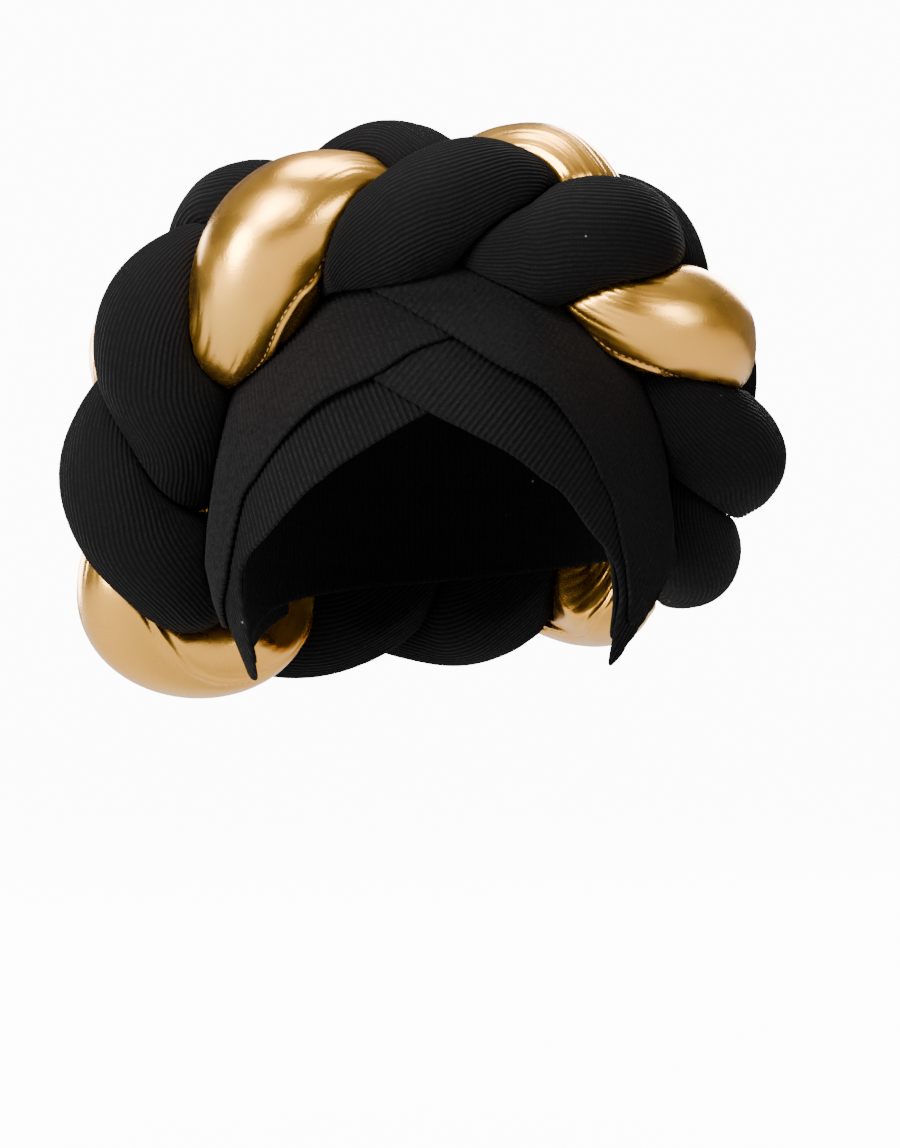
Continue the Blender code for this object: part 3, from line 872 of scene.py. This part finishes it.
@dataclass
class Band:
    """One folded pleat of rib knit.

    Attributes:
        node: The CAD node it stands for.
        rows: Its sections.
        step: Azimuths between which it changes layer, and its layers.
        form: The head's form.
        layers: Heights of the layers.
        seed: Seed of its folds.
        rib_pitch: Distance between ribs along the band's middle.
        samples: Sections for each rib.
        thickness: Thickness of the folded cloth.
        rib_depth: Relief of the ribs as real form.
        puff: How far the lower fold stands out.
        puff_reach: How far the puff fades up the band.
        faces_across: Faces across its outside.
        faces_behind: Faces across its back.
        lean_left: Angle of the left bands' ribs from the level, as seen from in front.
        lean_right: The same for the right bands.
        length: Length along its middle, known once it is built.
    """

    node: str
    rows: Rows
    step: tuple[float, float, float, float]
    form: HeadForm
    layers: Layers
    seed: int
    rib_pitch: float = 0.00225
    samples: int = 5
    thickness: float = 0.0019
    rib_depth: float = 0.00060
    puff: float = 0.0003
    puff_reach: float = 0.006
    faces_across: int = 22
    faces_behind: int = 8
    lean_left: float = math.radians(67)
    lean_right: float = math.radians(51)
    length: float = 0.0

    def build(self) -> bpy.types.Object:
        """Make the band as one closed sheet whose columns follow its ribs."""
        fine = np.linspace(0, len(self.rows) - 1, 500)[:, None]
        across, rise = self.loop(self.spread(fine)[0])
        phases = self.rib_phase(*self.spread(fine, across)[1:])
        way = np.sign(phases[-1].mean() - phases[0].mean())
        first, last = (way * phases).min(), (way * phases).max()
        count = int(round((last - first) * self.samples)) + 1
        wanted = first + np.arange(count) / self.samples
        place = np.stack([np.interp(wanted, way * column, fine[:, 0]) for column in phases.T], axis=-1)
        across = self.loop(self.spread(place.mean(axis=1, keepdims=True))[0])[0]
        width, azimuth, level = self.spread(place, across)
        phase = self.rib_phase(azimuth, level)
        lift = self.folds(place / (len(self.rows) - 1), across, width, rise, way * phase - first)
        under = self.layers.height(self.layers.layer_at(self.step, azimuth))
        points = self.form.point(azimuth, level, under + self.thickness * rise + lift)
        middle = self.form.point(azimuth, level, self.thickness).mean(axis=1)
        self.length = float(np.linalg.norm(np.diff(middle, axis=0), axis=1).sum())
        uv = np.stack(np.broadcast_arrays(phase, across * width / math.sin(self.lean)), axis=-1)
        return grid_mesh(self.node.replace("band", "pleat"), points, closing(uv), False)

    @property
    def left(self) -> bool:
        """Whether the band runs down on the left."""
        return "left" in self.node

    @property
    def lean(self) -> float:
        """Angle of its ribs from the level, as seen from in front."""
        return self.lean_left if self.left else self.lean_right

    def rib_phase(self, azimuth: np.ndarray, level: np.ndarray) -> np.ndarray:
        """Number of ribs passed, counted around the head; the ribs lean towards its middle."""
        spot = self.form.point(azimuth, level, 0.0)
        reach = np.hypot(spot[..., 0], spot[..., 1]) * azimuth
        tilt = 1 if self.left else -1
        return (reach * math.sin(self.lean) + tilt * spot[..., 2] * math.cos(self.lean)) / self.rib_pitch

    def spread(self, place: np.ndarray, across: np.ndarray | float = 0.5) -> tuple[np.ndarray, ...]:
        """Width, azimuth and level at places along the band and shares across it."""
        lower_az, lower_lv, upper_az, upper_lv = np.moveaxis(along_rows(self.rows, place), -1, 0)
        lower_az, upper_az = np.radians(lower_az), np.radians(upper_az)
        width = np.linalg.norm(self.form.point(lower_az, lower_lv, 0.0)
                               - self.form.point(upper_az, upper_lv, 0.0), axis=-1)
        return width, lower_az + (upper_az - lower_az) * across, lower_lv + (upper_lv - lower_lv) * across

    def loop(self, width: np.ndarray) -> tuple[np.ndarray, np.ndarray]:
        """Loop of sections of these widths: shares across, and shares of the thickness."""
        turn = np.radians(np.linspace(-60, 60, 5))
        outer = np.linspace(0, 1, self.faces_across + 1)
        inner = np.linspace(1, 0, self.faces_behind + 1)
        radius = self.thickness / 2 / width
        across = np.hstack([radius - radius * np.cos(turn), radius + (1 - 2 * radius) * outer,
                            1 - radius + radius * np.cos(turn), radius + (1 - 2 * radius) * inner])
        rise = np.concatenate([0.5 + 0.5 * np.sin(turn), np.ones(len(outer)),
                               0.5 - 0.5 * np.sin(turn), np.zeros(len(inner))])
        return across, rise

    def folds(self, share: np.ndarray, across: np.ndarray, width: np.ndarray, outside: np.ndarray,
              phase: np.ndarray) -> np.ndarray:
        """Height that ribs, the puffed fold and soft drags in the cloth add.

        Args:
            share: Share of the way along the band.
            across: Share across it.
            width: Its width there.
            outside: 1 on the outside, 0 on the back.
            phase: Number of ribs passed.

        Returns:
            Heights, in metres.
        """
        rng = np.random.default_rng(self.seed)
        puff = self.puff * hump(across * width, self.puff_reach)
        ribs = self.rib_depth * (np.cos(TAU * phase) - 1) / 2
        tight = ramp(share, 0.45, 0.8)
        drags = np.zeros_like(across)
        for count, size in ((2.2, 0.00045), (3.6, 0.0003)):
            slide = smooth_noise(share, 5, rng) * 0.35
            weight = 0.5 + 0.5 * smooth_noise(share, 7, rng)
            drags = drags + size * weight * np.sin(TAU * (count * across + slide))
        return outside * (puff + ribs + 0.4 * drags * (0.4 + tight))


@dataclass(frozen=True)
class Strand:
    """One stuffed strand of the braid.

    Attributes:
        node: The CAD node it stands for.
        first_lobe: The lobe where it first lies on top.
        seed: Seed of its wrinkles.
        ribs: Ribs around it, or 0 for smooth cloth.
        rib_depth: Relief of the ribs as real form.
        pinch: Depth of the wrinkles where it is pinched.
        plump: Height of the slow unevenness of the filling.
        seam_turn: Share around at which its sewn seam lies, or None.
        sections: Sections along it.
        sides: Points around each section.
    """

    node: str
    first_lobe: int
    seed: int
    ribs: int
    rib_depth: float
    pinch: float
    plump: float
    seam_turn: float | None = None
    sections: int = 330
    sides: int = 300


@dataclass(frozen=True)
class Braid:
    """Ring of three stuffed strands around the head.

    Attributes:
        form: The head's form.
        layers: Heights of the cap and bands below it.
        radius: Radius of a strand.
        sway: How far a strand swings sideways.
        lift: How far it rises and sinks.
        gap: Air between two strands.
        rest_gap: Air between a strand and what it rests on.
        least_rest: Least height of a strand's middle over what it rests on.
        rest_ease: How gently it is pushed off.
        crease: Rounding of the creases between strands.
        swell_each: How far the gold strand pushes the others back in each lobe.
        swell_most: How much further in the large lobe over the left brow.
        front_pass: Turn at which a strand passes the middle of its lobe.
        lobe_middle: Turn at the middle of what shows of a lobe.
        tip_reach: Degrees from that middle between which the pinched wrinkles set in.
        coarse: Sections and rays of the pressed form, before it is made finer.
        smooth_pattern: Pattern columns around smooth cloth.
        way_round: Length of cloth around a strand.
        seam_height: Height of the sewn seam's ridge, and depth of the grooves beside it.
        seam_ridge: Width of the ridge.
        seam_groove: Distance of a groove from the ridge, and its width.
        stitch_columns: Columns from the ridge to its stitches.
    """

    form: HeadForm
    layers: Layers
    radius: float = 0.0215
    sway: float = 0.0235
    lift: float = 0.0125
    gap: float = 0.0005
    rest_gap: float = 0.0006
    least_rest: float = 0.0086
    rest_ease: float = 0.004
    crease: float = 0.0022
    swell_each: float = 0.0008
    swell_most: float = 0.0024
    front_pass: float = math.radians(100)
    lobe_middle: float = math.radians(112)
    tip_reach: tuple[float, float] = (32, 66)
    coarse: tuple[int, int] = (360, 60)
    smooth_pattern: int = 84
    way_round: float = 0.13
    seam_height: float = 0.0005
    seam_ridge: float = 0.0009
    seam_groove: tuple[float, float] = (0.0024, 0.0013)
    stitch_columns: int = 4
    strands: tuple[Strand, ...] = (
        Strand("strand_gold", 1, 11, 0, 0.0, 0.0018, 0.0007, 0.135, 456, 216),
        Strand("strand_black_a", 2, 23, 60, 0.00033, 0.0010, 0.0006),
        Strand("strand_black_b", 3, 37, 60, 0.00033, 0.0010, 0.0006),
    )

    def frames(self, place: np.ndarray) -> tuple[np.ndarray, np.ndarray, np.ndarray, np.ndarray]:
        """Middle line of the braid: points, directions across and outward, and shares."""
        rows = np.array(ROUTE, float)
        azimuth, level, stand = np.radians(rows[:, 0]), rows[:, 1], self.radius * rows[:, 2]
        points = self.form.point(azimuth, level, stand)
        outward = unit(points - self.form.point(azimuth, level, np.zeros_like(stand)))
        forward = unit(around_rows(points, place + 0.01) - around_rows(points, place - 0.01))
        out = around_rows(outward, place)
        out = unit(out - (out * forward).sum(-1, keepdims=True) * forward)
        return around_rows(points, place), np.cross(forward, out), out, around_rows(rows[:, 3:], place)

    def turn(self, first_lobe: int, place: np.ndarray) -> np.ndarray:
        """Turn of a strand around the braid's middle."""
        return TAU * (place - first_lobe) / len(self.strands) + self.front_pass

    def line(self, first_lobe: int, place: np.ndarray) -> np.ndarray:
        """Middle line of one strand: it lies high from an edge to the middle, then goes under."""
        middle, across, out, shares = self.frames(place)
        turn = self.turn(first_lobe, place)
        sway = self.sway * shares[..., 0] * np.sin(turn)
        lift = -self.lift * shares[..., 1] * np.sin(2 * turn)
        points = middle + sway[..., None] * across + lift[..., None] * out
        azimuth, level, height = self.form.place(points)
        room = height - self.layers.wrap_height(azimuth, level) - self.least_rest
        push = 0.5 * (np.hypot(room, self.rest_ease) - room)
        return points + push[..., None] * out

    def swell(self, strand: Strand, place: np.ndarray) -> np.ndarray:
        """How far a strand pushes its neighbours back; the gold one does, most of all in one lobe."""
        if strand.ribs:
            return np.zeros_like(place)
        past = place - strand.first_lobe - 0.1
        each = hump(centred(past, len(self.strands)), 0.5)
        return self.swell_each * each + self.swell_most * hump(past - len(self.strands), 0.5)

    def sections(self, strand: Strand) -> np.ndarray:
        """Rounded sections of a strand, pressed where it meets its neighbours and the cap.

        Args:
            strand: The strand.

        Returns:
            Points of shape (sections, rays, 3), each section from its underside.
        """
        count, rays = self.coarse
        first = strand.first_lobe
        place = np.arange(count) * len(ROUTE) / count
        _, across, out, shares = self.frames(place)
        own = self.line(first, place)
        ahead = unit(self.line(first, place + 0.01) - self.line(first, place - 0.01))
        facing = unit(np.cross(out, across) + ahead)
        aside = unit(np.cross(facing, out))
        away = np.cross(aside, facing)
        girth = self.radius * shares[:, 2, None]
        angle = np.arange(rays) * TAU / rays - math.pi / 2
        spokes = np.cos(angle)[:, None] * aside[:, None] + np.sin(angle)[:, None] * away[:, None]
        # Places up to one and a half lobes away, among which the nearest point of a strand is found
        nearby = place[:, None] + np.arange(-20, 21) / 14
        lines = {other.first_lobe: self.line(other.first_lobe, nearby) for other in self.strands}
        swell = {other.first_lobe: self.swell(other, place)[:, None] for other in self.strands}

        def outside(reach: np.ndarray) -> np.ndarray:
            """How far the ends of spokes lie outside the strand."""
            points = own[:, None] + spokes * reach[..., None]
            far = {key: np.sqrt(((points[:, :, None] - line[:, None]) ** 2).sum(-1).min(-1))
                   for key, line in lines.items()}
            mine = far.pop(first)
            azimuth, level, height = self.form.place(points)
            sunk = self.layers.wrap_height(azimuth, level) + self.rest_gap - height
            meets = [(mine - other + self.gap) / 2 + swell[key] - swell[first]
                     for key, other in far.items()]
            pressed = soft_most(np.maximum(*meets), sunk, 0.002)
            return soft_most(mine - girth, pressed, self.crease)

        # The outermost way in is found in steps from the outside, then narrowed down
        longest, steps = 1.6 * self.radius, 12
        high = np.full((count, rays), longest)
        value_high = np.ones_like(high)
        for step in range(steps, 0, -1):
            reach = np.full_like(high, longest * step / steps)
            value = outside(reach)
            high = np.where(value > 0, reach, high)
            value_high = np.where(value > 0, value, value_high)
        low = high - longest / steps
        value_low = outside(low)
        for _ in range(5):
            reach = low + (high - low) * np.clip(value_low / (value_low - value_high), 0.1, 0.9)
            value = outside(reach)
            past = value > 0
            high, value_high = np.where(past, reach, high), np.where(past, value, value_high)
            low, value_low = np.where(past, low, reach), np.where(past, value_low, value)
        return own[:, None] + spokes * ((low + high) / 2)[..., None]

    def surface(self, strand: Strand) -> np.ndarray:
        """Fine even grid of a strand's surface, before ribs and wrinkles."""
        count, rays = self.coarse
        finer = 8
        around = np.swapaxes(self.sections(strand), 0, 1).reshape(rays, -1)
        fine = around_rows(around, np.arange(finer * rays) / finer).reshape(finer * rays, count, 3)
        loops = np.swapaxes(np.concatenate([fine, fine[:1]]), 0, 1)
        run = np.cumsum(np.linalg.norm(np.diff(loops, axis=1), axis=-1), axis=1)
        run = np.hstack([np.zeros((count, 1)), run]) / run[:, -1:]
        even = np.arange(strand.sides) / strand.sides
        rows = [np.stack([np.interp(even, passed, axis) for axis in loop.T], axis=-1).ravel()
                for loop, passed in zip(loops, run)]
        places = np.arange(strand.sections) * count / strand.sections
        return around_rows(np.array(rows), places).reshape(strand.sections, strand.sides, 3)

    def build(self, strand: Strand) -> tuple[bpy.types.Object, np.ndarray | None]:
        """Make one strand.

        Args:
            strand: The strand.

        Returns:
            The stuffed piece, and the line of its seam or None.
        """
        points = self.surface(strand)
        normals = grid_normals(points)
        place = np.arange(strand.sections)[:, None] * len(ROUTE) / strand.sections
        share = np.arange(strand.sides)[None] / strand.sides
        if ((points - points.mean(axis=1, keepdims=True)) * normals).sum() < 0:
            normals = -normals
        lift = self.wrinkles(strand, place, share)
        if strand.seam_turn is not None:
            off = np.abs(centred(share - strand.seam_turn, 1)) * self.way_round
            beside, wide = self.seam_groove
            lift = lift + self.seam_height * (hump(off, self.seam_ridge) - hump(off - beside, wide))
        points = points + lift[..., None] * normals
        middle = points.mean(axis=1)
        run = np.cumsum(np.linalg.norm(np.diff(middle, axis=0, append=middle[:1]), axis=1))
        around = np.linspace(0, strand.ribs or self.smooth_pattern, strand.sides + 1)[None]
        uv = np.stack(np.broadcast_arrays(around, np.append(0, run)[:, None]), axis=-1)
        piece = grid_mesh(strand.node.replace("strand", "braid"), points, uv, True)
        if strand.seam_turn is None:
            return piece, None
        column = round(strand.seam_turn * strand.sides) + self.stitch_columns
        return piece, points[:, column] + 0.00005 * normals[:, column]

    def wrinkles(self, strand: Strand, place: np.ndarray, share: np.ndarray) -> np.ndarray:
        """Height of ribs, of the pinched wrinkles towards a lobe's tips and of the filling."""
        rng = np.random.default_rng(strand.seed)
        along = place / len(ROUTE)
        from_middle = centred(self.turn(strand.first_lobe, place) - self.lobe_middle)
        tips = ramp(np.abs(np.degrees(from_middle)), *self.tip_reach)
        total = np.zeros(np.broadcast_shapes(place.shape, share.shape))
        for count, weight in ((17, 0.5), (26, 0.3), (39, 0.2)):
            slide = smooth_noise(along, 30, rng) * 0.6
            amount = 0.55 + 0.45 * smooth_noise(along, 48, rng)
            spread = 0.5 + 0.5 * smooth_noise(share + 0.07 * smooth_noise(along, 20, rng), 9, rng)
            crease = np.abs(np.sin(math.pi * (count * share + slide))) ** 0.7
            total = total + weight * amount * spread * (crease - 0.7)
        total = strand.pinch * (0.05 + tips) * total
        for knots, size in ((7, 0.6), (13, 0.4)):
            wave = smooth_noise(share + 0.15 * smooth_noise(along, 24, rng), knots, rng)
            total = total + strand.plump * size * wave * smooth_noise(along + 0.02 * wave, 40, rng)
        return total + strand.rib_depth * (np.cos(TAU * strand.ribs * share) - 1) / 2


@dataclass(frozen=True)
class Lamp:
    """A soft round lamp.

    Attributes:
        name: Name of the lamp.
        place: Where it hangs.
        size: Its diameter.
        power: Its power in watts.
        colour: Colour of its light.
    """

    name: str
    place: tuple[float, float, float]
    size: float
    power: float
    colour: tuple[float, float, float] = (1.0, 0.98, 0.95)

    def hang(self, target: Vector) -> None:
        """Hang the lamp so that it shines at a point."""
        data = bpy.data.lights.new(self.name, "AREA")
        data.shape, data.size, data.energy, data.color = "DISK", self.size, self.power, self.colour
        lamp = linked(bpy.data.objects.new(self.name, data))
        lamp.location = self.place
        lamp.rotation_euler = (target - Vector(self.place)).to_track_quat("-Z", "Y").to_euler()


@dataclass(frozen=True)
class Studio:
    """Floor, lights and camera.

    Attributes:
        camera_place: Where the camera stands.
        lens: Focal length on a 36 mm sensor.
        floor_level: Height of the floor.
        floor_radius: Radius of its flat middle.
        floor_bend: Radius of the bend at its edge.
        wall_height: Height of its upturned edge.
        paper_glow: How brightly the paper shows to the camera.
        target: Point at which the lamps shine.
        sky: How bright the light from all round is.
        lamps: The lamps.
    """

    camera_place: tuple[float, float, float] = (0.0036, -1.600, -0.1193)
    lens: float = 131.96
    floor_level: float = -0.34
    floor_radius: float = 3.4
    floor_bend: float = 1.2
    wall_height: float = 3.2
    paper_glow: float = 12.0
    target: tuple[float, float, float] = (0.0, 0.0, -0.08)
    sky: float = 0.32
    lamps: tuple[Lamp, ...] = (
        Lamp("key", (-0.55, -1.35, 0.85), 0.9, 60.0),
        Lamp("fill", (1.15, -1.3, 0.10), 0.7, 14.0, (1.0, 0.98, 0.96)),
        Lamp("side", (-1.25, -1.10, 0.10), 0.8, 48.0),
        Lamp("top", (0.1, 0.05, 1.45), 0.9, 32.0),
        Lamp("back", (0.6, 1.4, 0.7), 0.9, 36.0, (1.0, 0.98, 0.97)),
        Lamp("back_side", (-1.1, 1.2, 0.1), 0.8, 20.0, (1.0, 0.98, 0.97)),
    )

    def camera(self) -> None:
        """Put the camera at the photograph's viewing angle."""
        data = bpy.data.cameras.new("camera")
        data.lens, data.sensor_width = self.lens, 36.0
        data.clip_start, data.clip_end = 0.05, 60.0
        camera = linked(bpy.data.objects.new("camera", data))
        camera.location = self.camera_place
        camera.rotation_euler = (math.pi / 2, 0.0, 0.0)
        bpy.context.scene.camera = camera

    def floor(self) -> None:
        """Lay a pale floor that curves up all round."""
        turn = np.arange(96) * TAU / 96
        bend = np.linspace(0, math.pi / 2, 13)
        edge = self.floor_radius + self.floor_bend * np.append(np.sin(bend), 1)
        reach = np.append(0.3 * self.floor_radius, edge)[:, None]
        curve = self.floor_bend * (1 - np.cos(bend))
        rise = self.floor_level + np.concatenate([[0], curve, [self.wall_height]])[:, None]
        points = np.stack(np.broadcast_arrays(reach * np.cos(turn), reach * np.sin(turn), rise), axis=-1)
        place = np.arange(points[..., 0].size).reshape(points.shape[:2])
        beside = np.roll(place, -1, axis=1)
        quads = np.stack([place[:-1], place[1:], beside[1:], beside[:-1]], axis=-1).reshape(-1, 4)
        mesh = bpy.data.meshes.new("floor")
        mesh.from_pydata(points.reshape(-1, 3).tolist(), [], [place[0].tolist(), *quads.tolist()])
        mesh.shade_smooth()
        mesh.materials.append(self.paper())
        linked(bpy.data.objects.new("floor", mesh))

    def paper(self) -> bpy.types.Material:
        """Pale paper, which shows bright to the camera."""
        pale = (0.38, 0.38, 0.38, 1)
        paper = Surface("pale_paper", pale)
        shade = paper.mix(paper.noise(paper.places["Object"], 3.0), (0.34, 0.34, 0.34, 1), pale)
        seen = paper.node("ShaderNodeLightPath")["Is Camera Ray"]
        return paper.finish(Base_Color=shade, Roughness=0.9, Emission_Color=(1.0, 1.0, 1.0, 1),
                            Emission_Strength=paper.times(seen, self.paper_glow))

    def lights(self) -> None:
        """Hang soft lights around the object."""
        for lamp in self.lamps:
            lamp.hang(Vector(self.target))
        world = bpy.data.worlds.new("studio")
        world.use_nodes = True
        sky = world.node_tree.nodes["Background"].inputs
        sky["Color"].default_value = (1.0, 0.99, 0.98, 1)
        sky["Strength"].default_value = self.sky
        bpy.context.scene.world = world


def main() -> None:
    """Build the head tie, dress it and set up the studio."""
    logging.basicConfig(level=logging.INFO, format="%(name)s %(message)s")
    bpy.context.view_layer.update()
    form, layers = HeadForm(), Layers()
    groups = {tree.name: tree for tree in (rib_knit_group(), worn_cloth_group(), foil_group())}
    knit = KnitFinish("black_rib_knit").build(groups)
    pleat_knit = KnitFinish("black_pleat_knit", (0.0056, 0.0054, 0.0061, 1), (0.0003, 0.0003, 0.0004, 1),
                            relief=0.0009).build(groups)
    foil = FoilFinish("gold_foil_cloth").build(groups)
    gold_thread = ThreadFinish("gold_thread", (0.80, 0.50, 0.16, 1)).build(groups)
    black_thread = ThreadFinish("black_thread", (0.02, 0.02, 0.022, 1)).build(groups)

    cap_maker = Cap(form, layers)
    cap = cap_maker.build()
    cap.data.materials.append(knit)
    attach(cap, "root")
    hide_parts("cap_shell")
    report(cap)

    bands = (
        ("band_left_lower", LEFT_LOWER, (-180, 180, 0, 0), 3),
        ("band_right_lower", RIGHT_LOWER, (12, 30, 1, 0), 5),
        ("band_left_upper", LEFT_UPPER, layers.left_step, 8),
        ("band_right_upper", RIGHT_UPPER, layers.right_step, 13),
    )
    for node, rows, step, seed in bands:
        maker = Band(node, rows, step, form, layers, seed)
        band = maker.build()
        band.data.materials.append(pleat_knit)
        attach(band, "root")
        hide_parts(node)
        report(band)

    braid = Braid(form, layers)
    for strand in braid.strands:
        piece, seam = braid.build(strand)
        gold = strand.ribs == 0
        piece.data.materials.append(foil if gold else knit)
        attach(piece, "root")
        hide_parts(strand.node)
        report(piece)
        if seam is not None:
            row = Stitching("seam_stitches", 0.0030, 0.0020, 0.00028, True).build(seam, gold_thread)
            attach(row, "root")
            report(row)

    hem = Stitching("hem_stitches", 0.0028, 0.0019, 0.0004, False).build(cap_maker.hem_line(),
                                                                         black_thread)
    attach(hem, "root")
    report(hem)

    studio = Studio()
    studio.camera()
    studio.floor()
    studio.lights()


if __name__ == "__main__":
    main()
